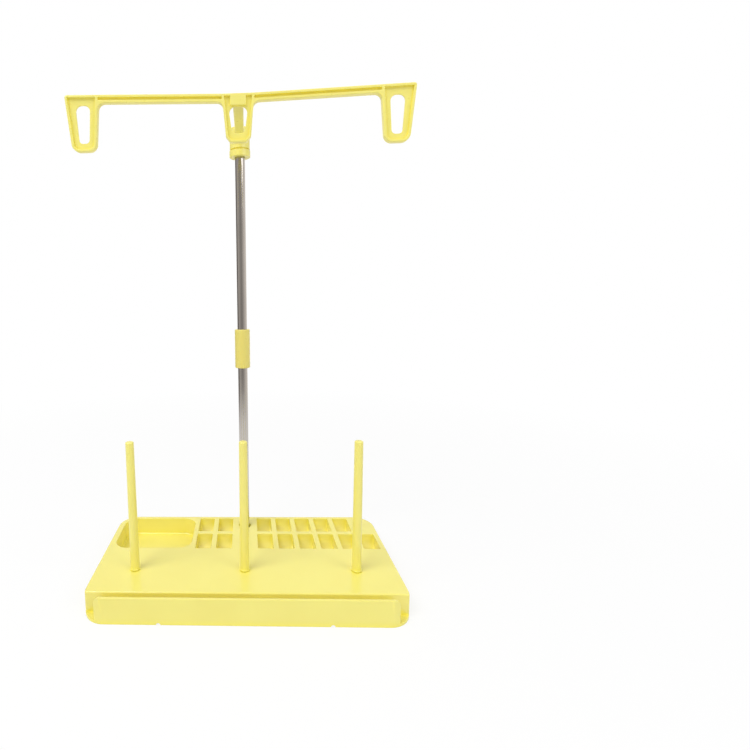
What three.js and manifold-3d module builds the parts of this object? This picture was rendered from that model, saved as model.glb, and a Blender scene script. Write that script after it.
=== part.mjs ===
// Thread spool stand: a moulded base tray with bobbin slots, three spool pins and a plug-together
// steel mast that carries a thread guide bar over the pins.
// Units are millimetres, +Z is up and the front of the stand faces -Y. The origin lies on the table
// under the middle of the base.

import * as THREE from 'three';
import { mergeVertices } from 'three/addons/utils/BufferGeometryUtils.js';
import Module from 'manifold-3d';

const wasm = await Module();
wasm.setup();

// Clearances
const FIT = 0.3; // gap on every side of a plugged-in piece, and under its end
const OVERSHOOT = 1; // how far a cutter passes the face that it opens

// Bobbins, and the half-round slots that hold them on edge
const BOBBIN_DIAMETER = 20.5;
const BOBBIN_WIDTH = 11.7;
const BOBBIN_LENGTH_PLAY = 1.9;
const BOBBIN_WIDTH_PLAY = 0.5;
const SLOT_STRAIGHT_DEPTH = 1.3; // upright part of a slot above its half-round bottom
const SLOT_COLUMN_WALL = 4; // plate left between two neighbours in a row
const SLOT_ROW_WALL = 4.3; // plate left between the back and the front row
const POCKET_WALL = 1.5;
const SLOT_GROUND_CLEARANCE = 2.2;

// Base tray
const BASE_WIDTH = 215;
const BASE_DEPTH = 119;
const BASE_CORNER_RADIUS = 15.5;
const BASE_EDGE_RADIUS = 1.2;
const RIM_WALL = 1.8;
const PLATE_THICKNESS = 2;
const POCKET_BACK_MARGIN = 3.7; // back edge of the base to the pockets
const POCKET_SIDE_MARGIN = 3.5; // least plate left between a slot and the side of the base
const TRAY_SIDE_MARGIN = 5;
const TRAY_WIDTH = 60.4;
const TRAY_CORNER_RADIUS = 11;
const TRAY_FLOOR = 2;
const TRAY_SLOT_WALL = 3; // least plate left between the tray and the slots

// Front channel and its lip
const LIP_THICKNESS = 2;
const LIP_RISE = 2.2;
const LIP_END_RADIUS = 4;
const LIP_END_THICKNESS = 0.7; // the rounded corner of the base thins the lip to this at its ends
const LIP_EDGE_RADIUS = 0.5;
const CHANNEL_WIDTH = 8.3;
const CHANNEL_FLOOR = 2;
const NOTCH_RADIUS = 1.5;
const NOTCH_SPACING = 112;
const NOTCH_DEPTH = 3;

// Spool pins and their bosses
const PIN_FROM_SIDE = 29; // side of the base to the outer pins
const PIN_FROM_BACK = 82;
const PIN_HEIGHT = 94.1; // flange to tip
const PIN_FOOT_DIAMETER = 6.4;
const PIN_TOP_DIAMETER = 5.8;
const PIN_TIP_RADIUS = 0.9;
const PIN_FLANGE_OVERHANG = 0.7; // beyond the bore that the tail plugs into
const PIN_FLANGE_HEIGHT = 1;
const PIN_TAIL_DIAMETER = 5;
const PIN_TAIL_LENGTH = 8;
const PIN_BOSS_WALL = 2.5;
const BOSS_GROUND_CLEARANCE = 0.8;

// Mast: two tubes, joined by a sleeve with a stop in its middle
const MAST_FROM_BACK = 15.8;
const TUBE_DIAMETER = 7.6;
const TUBE_WALL = 0.6;
const LOWER_TUBE_LENGTH = 160.6;
const UPPER_TUBE_LENGTH = 155.5;
const MAST_BOSS_WALL = 2.1;
const MAST_SOCKET_FLOOR = 4.1; // closed bottom of the mast boss
const MAST_RECESS_MARGIN = 0.9; // the mouth of the socket is wider by this much all round
const MAST_RECESS_DEPTH = 1.2;
const SLEEVE_WALL = 1.9;
const SLEEVE_LENGTH = 30.9;
const SLEEVE_EDGE = 0.6;
const SLEEVE_STOP_THICKNESS = 1.2;
const SLEEVE_STOP_LEDGE = 1.3; // how far the stop stands in from the bore

// Mast head: cup, bead round its mouth, and the beam that reaches forward
const CUP_WALL = 3.5;
const CUP_LENGTH = 21;
const CUP_SOCKET_DEPTH = 10.3;
const CUP_EDGE_RADIUS = 0.8;
const BEAD_SWELL = 0.3; // how far the bead stands out from the cup
const BEAD_HEIGHT = 4.8;
const BEAD_EDGE = 0.4;
const GROOVE_DEPTH = 0.8;
const GROOVE_HEIGHT = 0.9;
const BEAM_REACH = 77; // mast axis to the middle of the guide bar
const BEAM_DROP = 4.3; // the front end of the beam is lower than the top of the cup by this much
const BEAM_WIDTH = 6.4;
const BEAM_HEIGHT = 6.2;
const BEAM_FLANGE = 1.6;
const BEAM_WEB = 2.4;
const BEAM_SOCKET_WALL = 1.5;
const PEG_LENGTH = 8; // the guide bar's peg, in the socket in the front end of the beam

// Guide bar: a ribbed bar, its ends raised a little, with a thread loop at each end and in the middle
const GUIDE_LENGTH = 210.9;
const GUIDE_THICKNESS = 4;
const GUIDE_WEB = 1.2;
const GUIDE_END_RISE = 2.5; // the bar's ends stand higher than its middle by this much
const GUIDE_BAR_HEIGHT = 4.6;
const EDGE_RIM = 1.5;
const SIDE_RIB = 1.8; // ribs that run from the sides of a loop up to the top of the bar
const BAR_FILLET = 4; // between the bar and a loop
const LOOP_CORNER_RADIUS = 5;
const BAR_END_RADIUS = 1.5;
const END_LOOP_WIDTH = 20.5; // at the top of the bar
const END_LOOP_HEIGHT = 33.1;
const END_LOOP_SLANT = 3.3; // the outer edge comes in by this much on its way down
const END_LOOP_INNER_SLANT = 2.4; // and the inner edge by this much
const END_LOOP_INNER_BAND = 5.2; // beside the top of the hole
const END_HOLE_TOP_WIDTH = 9.2;
const END_HOLE_BOTTOM_WIDTH = 6.3;
const END_HOLE_SLANT = 1.5; // the inner edge of the hole moves outward by this much on its way down
const END_LOOP_TOP_BAND = 5.6;
const END_LOOP_BOTTOM_BAND = 5;
const MIDDLE_LOOP_WIDTH = 19.5;
const MIDDLE_LOOP_HEIGHT = 27.8;
const MIDDLE_LOOP_LOWER_WIDTH = 15.2;
const MIDDLE_LOOP_TIP_WIDTH = 9.8;
const MIDDLE_LOOP_TIP_HEIGHT = 3.2; // height of the bevelled corners
const MIDDLE_HOLE_TOP_WIDTH = 11.8;
const MIDDLE_HOLE_BOTTOM_WIDTH = 7.7;
const MIDDLE_LOOP_TOP_BAND = 7.2;
const MIDDLE_LOOP_BOTTOM_BAND = 5.5;
const PAD_WIDTH = 9.6; // full-thickness pad above the middle hole, in front of the beam
const MIDDLE_CORNER_RADIUS = 2;
const HOLE_TOP_RADIUS = 3.6;
const HOLE_BOTTOM_RADIUS = 2.4;

// Colours
const PLASTIC_YELLOW = 0xf2df63;
const STEEL_GREY = 0xb8b2ab;

// Roundness of the faceted surfaces
const ROUND_STEPS = 40;
const PIN_STEPS = 24;
const ARC_STEPS = 4;
const EDGE_STEPS = 2;

// Sizes and places worked out from the values above
const slotLength = BOBBIN_DIAMETER + BOBBIN_LENGTH_PLAY;
const slotWidth = BOBBIN_WIDTH + BOBBIN_WIDTH_PLAY;
const slotRadius = slotLength / 2;
const slotPitch = slotWidth + SLOT_COLUMN_WALL;
const slotDepth = slotRadius + SLOT_STRAIGHT_DEPTH;
const baseHeight = slotDepth + POCKET_WALL + SLOT_GROUND_CLEARANCE;
const halfWidth = BASE_WIDTH / 2;
const backY = BASE_DEPTH / 2;
const frontY = -BASE_DEPTH / 2;
const channelBackY = frontY + LIP_THICKNESS + CHANNEL_WIDTH;
const pocketBackY = backY - POCKET_BACK_MARGIN;
const backRowY = pocketBackY - slotLength / 2;
const frontRowY = backRowY - slotLength - SLOT_ROW_WALL;
const pocketFrontY = frontRowY - slotLength / 2;
const trayLeftX = -halfWidth + TRAY_SIDE_MARGIN;
const trayRightX = trayLeftX + TRAY_WIDTH;
const pinY = backY - PIN_FROM_BACK;
const pinXs = [PIN_FROM_SIDE - halfWidth, 0, halfWidth - PIN_FROM_SIDE];
const mastY = backY - MAST_FROM_BACK;

const pinBoreRadius = PIN_TAIL_DIAMETER / 2 + FIT;
const pinZ = baseHeight + FIT;
const boreRadius = TUBE_DIAMETER / 2 + FIT;
const sleeveRadius = boreRadius + SLEEVE_WALL;
const cupRadius = boreRadius + CUP_WALL;
const mastBoreZ = BOSS_GROUND_CLEARANCE + MAST_SOCKET_FLOOR;
const lowerTubeZ = mastBoreZ + FIT;
const sleeveStopZ = lowerTubeZ + LOWER_TUBE_LENGTH + FIT;
const sleeveZ = sleeveStopZ + SLEEVE_STOP_THICKNESS / 2 - SLEEVE_LENGTH / 2;
const upperTubeZ = sleeveStopZ + SLEEVE_STOP_THICKNESS + FIT;
const cupZ = upperTubeZ + UPPER_TUBE_LENGTH + FIT - CUP_SOCKET_DEPTH;
const guideY = mastY - BEAM_REACH;
const guideZ = cupZ + CUP_LENGTH - BEAM_DROP;
const beamFrontY = -BEAM_REACH + GUIDE_THICKNESS / 2 + FIT; // from the mast axis, as is the next one
const beamLevelY = beamFrontY + PEG_LENGTH + BEAM_SOCKET_WALL;
const pegWidth = BEAM_WIDTH - 2 * (BEAM_SOCKET_WALL + FIT);
const pegHeight = BEAM_HEIGHT - 2 * (BEAM_SOCKET_WALL + FIT);

// Turns a closed three.js geometry into a solid that can be joined and cut
function toSolid(geometry) {
  const bare = geometry.clone();
  bare.deleteAttribute('normal');
  bare.deleteAttribute('uv');
  const welded = mergeVertices(bare, 1e-4);
  const index = welded.index.array;
  const triangles = [];
  for (let i = 0; i < index.length; i += 3) {
    const [a, b, c] = [index[i], index[i + 1], index[i + 2]];
    if (a !== b && b !== c && c !== a) {
      triangles.push(a, b, c);
    }
  }
  const mesh = new wasm.Mesh({
    numProp: 3,
    vertProperties: new Float32Array(welded.attributes.position.array),
    triVerts: new Uint32Array(triangles),
  });
  return new wasm.Manifold(mesh);
}

// Turns a solid back into a three.js geometry
function toGeometry(solid) {
  const { vertProperties, triVerts } = solid.getMesh();
  const geometry = new THREE.BufferGeometry();
  geometry.setAttribute('position', new THREE.BufferAttribute(vertProperties, 3));
  geometry.setIndex(new THREE.BufferAttribute(triVerts, 1));
  geometry.computeVertexNormals();
  return geometry;
}

function join(solids) {
  return solids.reduce((whole, solid) => whole.add(solid));
}

// A rounded polygon from [x, y, radius] corners in counter-clockwise order, which may turn either way
function roundedShape(corners) {
  const shape = new THREE.Shape();
  corners.forEach(([x, y, radius], i) => {
    if (radius === 0) {
      i === 0 ? shape.moveTo(x, y) : shape.lineTo(x, y);
      return;
    }
    const [previousX, previousY] = corners.at(i - 1);
    const [nextX, nextY] = corners[(i + 1) % corners.length];
    const inward = new THREE.Vector2(x - previousX, y - previousY).normalize();
    const outward = new THREE.Vector2(nextX - x, nextY - y).normalize();
    const side = Math.sign(inward.cross(outward));
    const turn = Math.acos(inward.dot(outward));
    const arcStart = new THREE.Vector2(x, y).addScaledVector(inward, -radius * Math.tan(turn / 2));
    const towardCentre = new THREE.Vector2(-inward.y, inward.x).multiplyScalar(side);
    const centre = arcStart.clone().addScaledVector(towardCentre, radius);
    const startAngle = Math.atan2(-towardCentre.y, -towardCentre.x);
    shape.absarc(centre.x, centre.y, radius, startAngle, startAngle + side * turn, side < 0);
  });
  return shape;
}

// The same polygon with every edge moved inward by a distance, or outward by a negative one
function inset(corners, distance) {
  const edges = corners.map(([x, y], i) => {
    const [nextX, nextY] = corners[(i + 1) % corners.length];
    const direction = new THREE.Vector2(nextX - x, nextY - y).normalize();
    const point = new THREE.Vector2(x - direction.y * distance, y + direction.x * distance);
    return { point, direction };
  });
  return corners.map(([, , radius], i) => {
    const before = edges.at(i - 1);
    const after = edges[i];
    const turn = before.direction.cross(after.direction);
    const reach = after.point.clone().sub(before.point).cross(after.direction) / turn;
    const corner = before.point.clone().addScaledVector(before.direction, reach);
    const movedRadius = radius - Math.sign(turn) * distance;
    return [corner.x, corner.y, radius === 0 ? 0 : Math.max(movedRadius, 0)];
  });
}

// The same polygon on the other side of the middle plane
function mirrored(corners) {
  return corners.map(([x, y, radius]) => [-x, y, radius]).reverse();
}

function rectangle(x0, y0, x1, y1, radius = 0) {
  return [[x0, y0, radius], [x1, y0, radius], [x1, y1, radius], [x0, y1, radius]];
}

// Extrudes a shape by a depth along +Z from zero, its edges rounded at both ends
function extruded(shape, depth, edgeRadius) {
  return new THREE.ExtrudeGeometry(shape, {
    depth: depth - 2 * edgeRadius,
    bevelEnabled: edgeRadius > 0,
    bevelSize: edgeRadius,
    bevelOffset: -edgeRadius,
    bevelThickness: edgeRadius,
    bevelSegments: EDGE_STEPS,
    curveSegments: ARC_STEPS,
  }).translate(0, 0, edgeRadius);
}

// Extrudes a plan upward from z0 to z1
function upright(corners, z0, z1) {
  return toSolid(extruded(roundedShape(corners), z1 - z0, 0).translate(0, 0, z0));
}

// The same, with its top edge rounded and its bottom edge sharp
function domed(corners, z0, z1, edgeRadius) {
  const lowZ = z0 - edgeRadius;
  const rounded = toSolid(extruded(roundedShape(corners), z1 - lowZ, edgeRadius).translate(0, 0, lowZ));
  return rounded.intersect(upright(inset(corners, -OVERSHOOT), z0, z1 + OVERSHOOT));
}

// Extrudes a front view, drawn in X and Z, backward from y0 to y1
function frontal(corners, y0, y1, edgeRadius = 0) {
  const geometry = extruded(roundedShape(corners), y1 - y0, edgeRadius);
  return toSolid(geometry.rotateX(Math.PI / 2).translate(0, y1, 0));
}

// Extrudes a side view, drawn in Y and Z, to a width about a middle plane at x
function sideways(shape, x, width) {
  const toSide = new THREE.Matrix4().makeBasis(
    new THREE.Vector3(0, 1, 0), new THREE.Vector3(0, 0, 1), new THREE.Vector3(1, 0, 0));
  const geometry = extruded(shape, width, 0).applyMatrix4(toSide);
  return toSolid(geometry.translate(x - width / 2, 0, 0));
}

// A turned solid about the Z axis from [radius, height] points, from low to high along its outside
function turned(points, steps = ROUND_STEPS) {
  const profile = points.map(([radius, height]) => new THREE.Vector2(radius, height));
  return toSolid(new THREE.LatheGeometry(profile, steps).rotateX(Math.PI / 2));
}

function cylinder(x, y, z0, z1, radius) {
  const rod = new THREE.CylinderGeometry(radius, radius, z1 - z0, ROUND_STEPS);
  return toSolid(rod.rotateX(Math.PI / 2).translate(x, y, (z0 + z1) / 2));
}

// Plan of the whole base, moved inward by a distance
function basePlan(distance = 0) {
  return inset(rectangle(-halfWidth, frontY, halfWidth, backY, BASE_CORNER_RADIUS), distance);
}

// Plan of what lies behind the front channel, past the outline of the base on the other three sides
function behindChannel(distance = 0) {
  const beyond = halfWidth + BASE_DEPTH;
  return rectangle(-beyond, channelBackY + distance, beyond, beyond);
}

function plateBlock() {
  const block = domed(basePlan(), 0, baseHeight, BASE_EDGE_RADIUS);
  return block.intersect(domed(behindChannel(), 0, baseHeight, BASE_EDGE_RADIUS));
}

// The hollow under the plate
function plateHollow() {
  const topZ = baseHeight - PLATE_THICKNESS;
  const hollow = upright(basePlan(RIM_WALL), -OVERSHOOT, topZ);
  return hollow.intersect(upright(behindChannel(RIM_WALL), -OVERSHOOT, topZ + OVERSHOOT));
}

// The lip along the front, as far as the rounded corners of the base leave it thick enough
function frontLip() {
  const topZ = baseHeight + LIP_RISE;
  const cornerDrop = BASE_CORNER_RADIUS - (LIP_THICKNESS - LIP_END_THICKNESS);
  const endX = halfWidth - BASE_CORNER_RADIUS + Math.sqrt(BASE_CORNER_RADIUS ** 2 - cornerDrop ** 2);
  const view = [
    [-endX, -OVERSHOOT, 0], [endX, -OVERSHOOT, 0],
    [endX, topZ, LIP_END_RADIUS], [-endX, topZ, LIP_END_RADIUS],
  ];
  const strip = frontal(view, frontY, frontY + LIP_THICKNESS, LIP_EDGE_RADIUS);
  return strip.intersect(upright(basePlan(), 0, topZ + OVERSHOOT));
}

// A half-round nick in the bottom edge of the lip
function lipNotch(x) {
  const rod = new THREE.CylinderGeometry(NOTCH_RADIUS, NOTCH_RADIUS, 2 * NOTCH_DEPTH, PIN_STEPS);
  return toSolid(rod.translate(x, frontY, 0));
}

// Side view of a bobbin slot, grown by a wall on its outside
function slotProfile(middleY, wall, topZ) {
  const radius = slotRadius + wall;
  const shape = new THREE.Shape();
  shape.moveTo(middleY + radius, topZ);
  shape.lineTo(middleY - radius, topZ);
  shape.absarc(middleY, baseHeight - SLOT_STRAIGHT_DEPTH, radius, Math.PI, 2 * Math.PI, false);
  return shape;
}

// Whether a slot to the right of the mast stays clear of the side and the rounded corner of the base
function slotFits(x, y) {
  const farX = x + slotWidth / 2;
  const farY = y + slotLength / 2;
  const pastX = Math.max(farX - (halfWidth - BASE_CORNER_RADIUS), 0);
  const pastY = Math.max(farY - (backY - BASE_CORNER_RADIUS), 0);
  const clearOfSide = farX <= halfWidth - POCKET_SIDE_MARGIN;
  return clearOfSide && Math.hypot(pastX, pastY) <= BASE_CORNER_RADIUS - POCKET_WALL;
}

// Middles of the bobbin slots. The columns are counted from the mast, which stands in a gap of its own.
function slotPlaces() {
  const leftmostX = trayRightX + TRAY_SLOT_WALL + slotWidth / 2;
  const places = [];
  for (const y of [backRowY, frontRowY]) {
    for (let x = -slotPitch; x >= leftmostX; x -= slotPitch) {
      places.push([x, y]);
    }
    for (let x = slotPitch; slotFits(x, y); x += slotPitch) {
      places.push([x, y]);
    }
  }
  return places;
}

function trayPlan(distance = 0) {
  return inset(rectangle(trayLeftX, pocketFrontY, trayRightX, pocketBackY, TRAY_CORNER_RADIUS), distance);
}

// Outsides of the tray, the slots and the bosses, up into the plate
function pocketsAndBosses() {
  const topZ = baseHeight - PLATE_THICKNESS / 2;
  const outerWidth = slotWidth + 2 * POCKET_WALL;
  const mastBossRadius = boreRadius + MAST_BOSS_WALL;
  const pinBossRadius = pinBoreRadius + PIN_BOSS_WALL;
  return join([
    upright(trayPlan(-POCKET_WALL), 0, topZ),
    ...slotPlaces().map(([x, y]) => sideways(slotProfile(y, POCKET_WALL, topZ), x, outerWidth)),
    cylinder(0, mastY, BOSS_GROUND_CLEARANCE, topZ, mastBossRadius),
    ...pinXs.map((x) => cylinder(x, pinY, BOSS_GROUND_CLEARANCE, topZ, pinBossRadius)),
  ]);
}

// Everything that is cut out of the plate from above
function pocketHollows() {
  const openZ = baseHeight + LIP_RISE;
  return join([
    upright(trayPlan(), TRAY_FLOOR, openZ),
    ...slotPlaces().map(([x, y]) => sideways(slotProfile(y, 0, openZ), x, slotWidth)),
    cylinder(0, mastY, mastBoreZ, openZ, boreRadius),
    cylinder(0, mastY, baseHeight - MAST_RECESS_DEPTH, openZ, boreRadius + MAST_RECESS_MARGIN),
    ...pinXs.map((x) => cylinder(x, pinY, baseHeight - PIN_TAIL_LENGTH, openZ, pinBoreRadius)),
  ]);
}

function baseTray() {
  const block = plateBlock();
  const hollow = plateHollow();
  const channelFloor = upright(basePlan(), 0, CHANNEL_FLOOR).subtract(hollow);
  const notches = [-1, 1].map((side) => lipNotch(side * NOTCH_SPACING / 2));
  return join([block.subtract(hollow), pocketsAndBosses().intersect(block), channelFloor, frontLip()])
    .subtract(join([pocketHollows(), ...notches]));
}

// Its own origin is under the flange
function spoolPin() {
  const tail = PIN_TAIL_DIAMETER / 2;
  const flange = pinBoreRadius + PIN_FLANGE_OVERHANG;
  const foot = PIN_FOOT_DIAMETER / 2;
  const top = PIN_TOP_DIAMETER / 2;
  const chamfer = PIN_TIP_RADIUS / 3;
  return turned([
    [0, -PIN_TAIL_LENGTH], [tail, -PIN_TAIL_LENGTH], [tail, 0],
    [flange, 0], [flange, PIN_FLANGE_HEIGHT], [foot, PIN_FLANGE_HEIGHT],
    [top, PIN_HEIGHT - PIN_TIP_RADIUS], [top - chamfer, PIN_HEIGHT - chamfer],
    [top - PIN_TIP_RADIUS, PIN_HEIGHT], [0, PIN_HEIGHT],
  ], PIN_STEPS);
}

// Its own origin is at its bottom end
function tube(length) {
  const outer = TUBE_DIAMETER / 2;
  const inner = outer - TUBE_WALL;
  return turned([[inner, 0], [outer, 0], [outer, length], [inner, length], [inner, 0]]);
}

// Its own origin is at its bottom end
function couplingSleeve() {
  const stopLow = (SLEEVE_LENGTH - SLEEVE_STOP_THICKNESS) / 2;
  const stopHigh = stopLow + SLEEVE_STOP_THICKNESS;
  const ledge = boreRadius - SLEEVE_STOP_LEDGE;
  return turned([
    [boreRadius, 0], [sleeveRadius - SLEEVE_EDGE, 0], [sleeveRadius, SLEEVE_EDGE],
    [sleeveRadius, SLEEVE_LENGTH - SLEEVE_EDGE], [sleeveRadius - SLEEVE_EDGE, SLEEVE_LENGTH],
    [boreRadius, SLEEVE_LENGTH], [boreRadius, stopHigh], [ledge, stopHigh],
    [ledge, stopLow], [boreRadius, stopLow], [boreRadius, 0],
  ]);
}

function headCup() {
  const bead = cupRadius + BEAD_SWELL;
  const groove = cupRadius - GROOVE_DEPTH;
  const grooveTop = BEAD_HEIGHT + GROOVE_HEIGHT;
  const chamfer = CUP_EDGE_RADIUS / 3;
  return turned([
    [boreRadius, 0], [bead - BEAD_EDGE, 0], [bead, BEAD_EDGE], [bead, BEAD_HEIGHT],
    [groove, BEAD_HEIGHT], [groove, grooveTop], [cupRadius, grooveTop],
    [cupRadius, CUP_LENGTH - CUP_EDGE_RADIUS], [cupRadius - chamfer, CUP_LENGTH - chamfer],
    [cupRadius - CUP_EDGE_RADIUS, CUP_LENGTH], [0, CUP_LENGTH],
    [0, CUP_SOCKET_DEPTH], [boreRadius, CUP_SOCKET_DEPTH], [boreRadius, 0],
  ]);
}

// Side view of a strip of the beam between two depths below its top: a slope, then a level front end
function beamStrip(topDepth, lowDepth) {
  const levelTop = CUP_LENGTH - BEAM_DROP;
  const strip = [
    [beamFrontY, levelTop - lowDepth, 0], [beamLevelY, levelTop - lowDepth, 0],
    [0, CUP_LENGTH - lowDepth, 0], [0, CUP_LENGTH - topDepth, 0],
    [beamLevelY, levelTop - topDepth, 0], [beamFrontY, levelTop - topDepth, 0],
  ];
  return roundedShape(strip);
}

// The I-shaped beam, closed at its front end round the socket for the guide bar's peg
function headBeam() {
  const flangeX = BEAM_WIDTH / 2;
  const levelTop = CUP_LENGTH - BEAM_DROP;
  const endSection = rectangle(-flangeX, levelTop - BEAM_HEIGHT, flangeX, levelTop);
  const beam = join([
    sideways(beamStrip(0, BEAM_FLANGE), 0, BEAM_WIDTH),
    sideways(beamStrip(BEAM_HEIGHT - BEAM_FLANGE, BEAM_HEIGHT), 0, BEAM_WIDTH),
    sideways(beamStrip(0, BEAM_HEIGHT), 0, BEAM_WEB),
    frontal(endSection, beamFrontY, beamLevelY),
  ]);
  const socket = inset(endSection, BEAM_SOCKET_WALL);
  return beam.subtract(frontal(socket, beamFrontY - OVERSHOOT, beamFrontY + PEG_LENGTH));
}

// Its own origin is on the mast axis, at the mouth of the cup
function mastHead() {
  const bore = cylinder(0, 0, -OVERSHOOT, CUP_SOCKET_DEPTH, boreRadius);
  return headBeam().subtract(bore).add(headCup());
}

// Height of the top edge of the guide bar: level over the middle loop, then up to the ends
function barTop(x) {
  const levelX = MIDDLE_LOOP_WIDTH / 2;
  return GUIDE_END_RISE * Math.max(x - levelX, 0) / (GUIDE_LENGTH / 2 - levelX);
}

// Where the slanting side of the middle loop meets the underside of the bar
function meetingX() {
  const shoulderZ = MIDDLE_LOOP_TIP_HEIGHT - MIDDLE_LOOP_HEIGHT;
  const lowX = MIDDLE_LOOP_LOWER_WIDTH / 2;
  return THREE.MathUtils.mapLinear(-GUIDE_BAR_HEIGHT, shoulderZ, 0, lowX, MIDDLE_LOOP_WIDTH / 2);
}

// Right half of the outline of the guide bar and its loops, from the bottom of the middle loop up to the top
function guideOutline() {
  const middleX = MIDDLE_LOOP_WIDTH / 2;
  const lowX = MIDDLE_LOOP_LOWER_WIDTH / 2;
  const shoulderZ = MIDDLE_LOOP_TIP_HEIGHT - MIDDLE_LOOP_HEIGHT;
  const outerX = GUIDE_LENGTH / 2;
  const innerX = outerX - END_LOOP_WIDTH;
  const endLowZ = GUIDE_END_RISE - END_LOOP_HEIGHT;
  return [
    [MIDDLE_LOOP_TIP_WIDTH / 2, -MIDDLE_LOOP_HEIGHT, MIDDLE_CORNER_RADIUS],
    [lowX, shoulderZ, MIDDLE_CORNER_RADIUS],
    [meetingX(), -GUIDE_BAR_HEIGHT, BAR_FILLET],
    [innerX, barTop(innerX) - GUIDE_BAR_HEIGHT, BAR_FILLET],
    [innerX + END_LOOP_INNER_SLANT, endLowZ, LOOP_CORNER_RADIUS],
    [outerX - END_LOOP_SLANT, endLowZ, LOOP_CORNER_RADIUS],
    [outerX, GUIDE_END_RISE, BAR_END_RADIUS],
    [middleX, 0, 0],
  ];
}

function endHole() {
  const leftX = GUIDE_LENGTH / 2 - END_LOOP_WIDTH + END_LOOP_INNER_BAND;
  const lowX = leftX + END_HOLE_SLANT;
  const topZ = barTop(leftX) - END_LOOP_TOP_BAND;
  const lowZ = GUIDE_END_RISE - END_LOOP_HEIGHT + END_LOOP_BOTTOM_BAND;
  return [
    [lowX, lowZ, HOLE_BOTTOM_RADIUS], [lowX + END_HOLE_BOTTOM_WIDTH, lowZ, HOLE_BOTTOM_RADIUS],
    [leftX + END_HOLE_TOP_WIDTH, topZ, HOLE_TOP_RADIUS], [leftX, topZ, HOLE_TOP_RADIUS],
  ];
}

function middleHole() {
  const topX = MIDDLE_HOLE_TOP_WIDTH / 2;
  const lowX = MIDDLE_HOLE_BOTTOM_WIDTH / 2;
  const topZ = -MIDDLE_LOOP_TOP_BAND;
  const lowZ = MIDDLE_LOOP_BOTTOM_BAND - MIDDLE_LOOP_HEIGHT;
  return [
    [-lowX, lowZ, HOLE_BOTTOM_RADIUS], [lowX, lowZ, HOLE_BOTTOM_RADIUS],
    [topX, topZ, HOLE_TOP_RADIUS], [-topX, topZ, HOLE_TOP_RADIUS],
  ];
}

// Ribs on the right half that carry the sides of the loops up across the bar, in front view
function sideRibs() {
  const innerX = GUIDE_LENGTH / 2 - END_LOOP_WIDTH;
  const middleX = MIDDLE_LOOP_WIDTH / 2;
  const ribLowZ = barTop(innerX) - GUIDE_BAR_HEIGHT - BAR_FILLET;
  const lowX = meetingX();
  return [
    rectangle(innerX, ribLowZ, innerX + SIDE_RIB, barTop(innerX)),
    [
      [lowX - SIDE_RIB, -GUIDE_BAR_HEIGHT, 0], [lowX, -GUIDE_BAR_HEIGHT, 0],
      [middleX, 0, 0], [middleX - SIDE_RIB, 0, 0],
    ],
  ];
}

// A thin web with a raised rim along its edges and ribs across it. Its own origin is on its top edge.
function guideBar() {
  const half = GUIDE_THICKNESS / 2;
  const outline = [...guideOutline(), ...mirrored(guideOutline())];
  const holes = [endHole(), middleHole(), mirrored(endHole())];
  const ribs = [...sideRibs(), ...sideRibs().map(mirrored)];
  const padX = PAD_WIDTH / 2;
  const rim = frontal(outline, -half, half)
    .subtract(frontal(inset(outline, EDGE_RIM), -GUIDE_THICKNESS, GUIDE_THICKNESS));
  const body = join([
    rim,
    frontal(outline, -GUIDE_WEB / 2, GUIDE_WEB / 2),
    frontal(rectangle(-padX, -MIDDLE_LOOP_TOP_BAND, padX, 0), -half, half),
    ...ribs.map((rib) => frontal(rib, -half, half)),
  ]);
  const cutters = holes.map((hole) => frontal(hole, -GUIDE_THICKNESS, GUIDE_THICKNESS));
  const pegTop = -(BEAM_SOCKET_WALL + FIT);
  const pegView = rectangle(-pegWidth / 2, pegTop - pegHeight, pegWidth / 2, pegTop);
  return body.subtract(join(cutters)).add(frontal(pegView, 0, half + PEG_LENGTH));
}

function plastic(name, roughness) {
  return new THREE.MeshStandardMaterial({ name, color: PLASTIC_YELLOW, roughness, metalness: 0 });
}

function steel(name) {
  return new THREE.MeshStandardMaterial({ name, color: STEEL_GREY, roughness: 0.25, metalness: 1 });
}

function piece(name, solid, material, [x, y, z] = [0, 0, 0]) {
  const mesh = new THREE.Mesh(toGeometry(solid), material);
  mesh.name = name;
  mesh.position.set(x, y, z);
  return mesh;
}

const pins = new THREE.Group();
pins.position.set(0, pinY, pinZ);
['spool_pin_left', 'spool_pin_middle', 'spool_pin_right'].forEach((name, i) => {
  pins.add(piece(name, spoolPin(), plastic(name, 0.45), [pinXs[i], 0, 0]));
});

const mast = new THREE.Group();
mast.position.set(0, mastY, 0);
const guidePlace = [0, guideY - mastY, guideZ];
mast.add(piece('lower_tube', tube(LOWER_TUBE_LENGTH), steel('lower_tube'), [0, 0, lowerTubeZ]));
mast.add(piece('coupling_sleeve', couplingSleeve(), plastic('coupling_sleeve', 0.45), [0, 0, sleeveZ]));
mast.add(piece('upper_tube', tube(UPPER_TUBE_LENGTH), steel('upper_tube'), [0, 0, upperTubeZ]));
mast.add(piece('mast_head', mastHead(), plastic('mast_head', 0.4), [0, 0, cupZ]));
mast.add(piece('guide_bar', guideBar(), plastic('guide_bar', 0.4), guidePlace));

const stand = new THREE.Group();
stand.add(piece('base_tray', baseTray(), plastic('base_tray', 0.5)));
stand.add(pins, mast);

export default stand;
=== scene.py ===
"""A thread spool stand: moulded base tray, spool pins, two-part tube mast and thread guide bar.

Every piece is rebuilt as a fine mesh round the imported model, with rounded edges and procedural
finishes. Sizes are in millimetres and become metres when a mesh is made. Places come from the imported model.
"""

import logging
import math
from dataclasses import dataclass, field
from enum import Enum
from typing import Sequence

import bmesh
import bpy
from mathutils import Matrix, Vector

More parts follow.
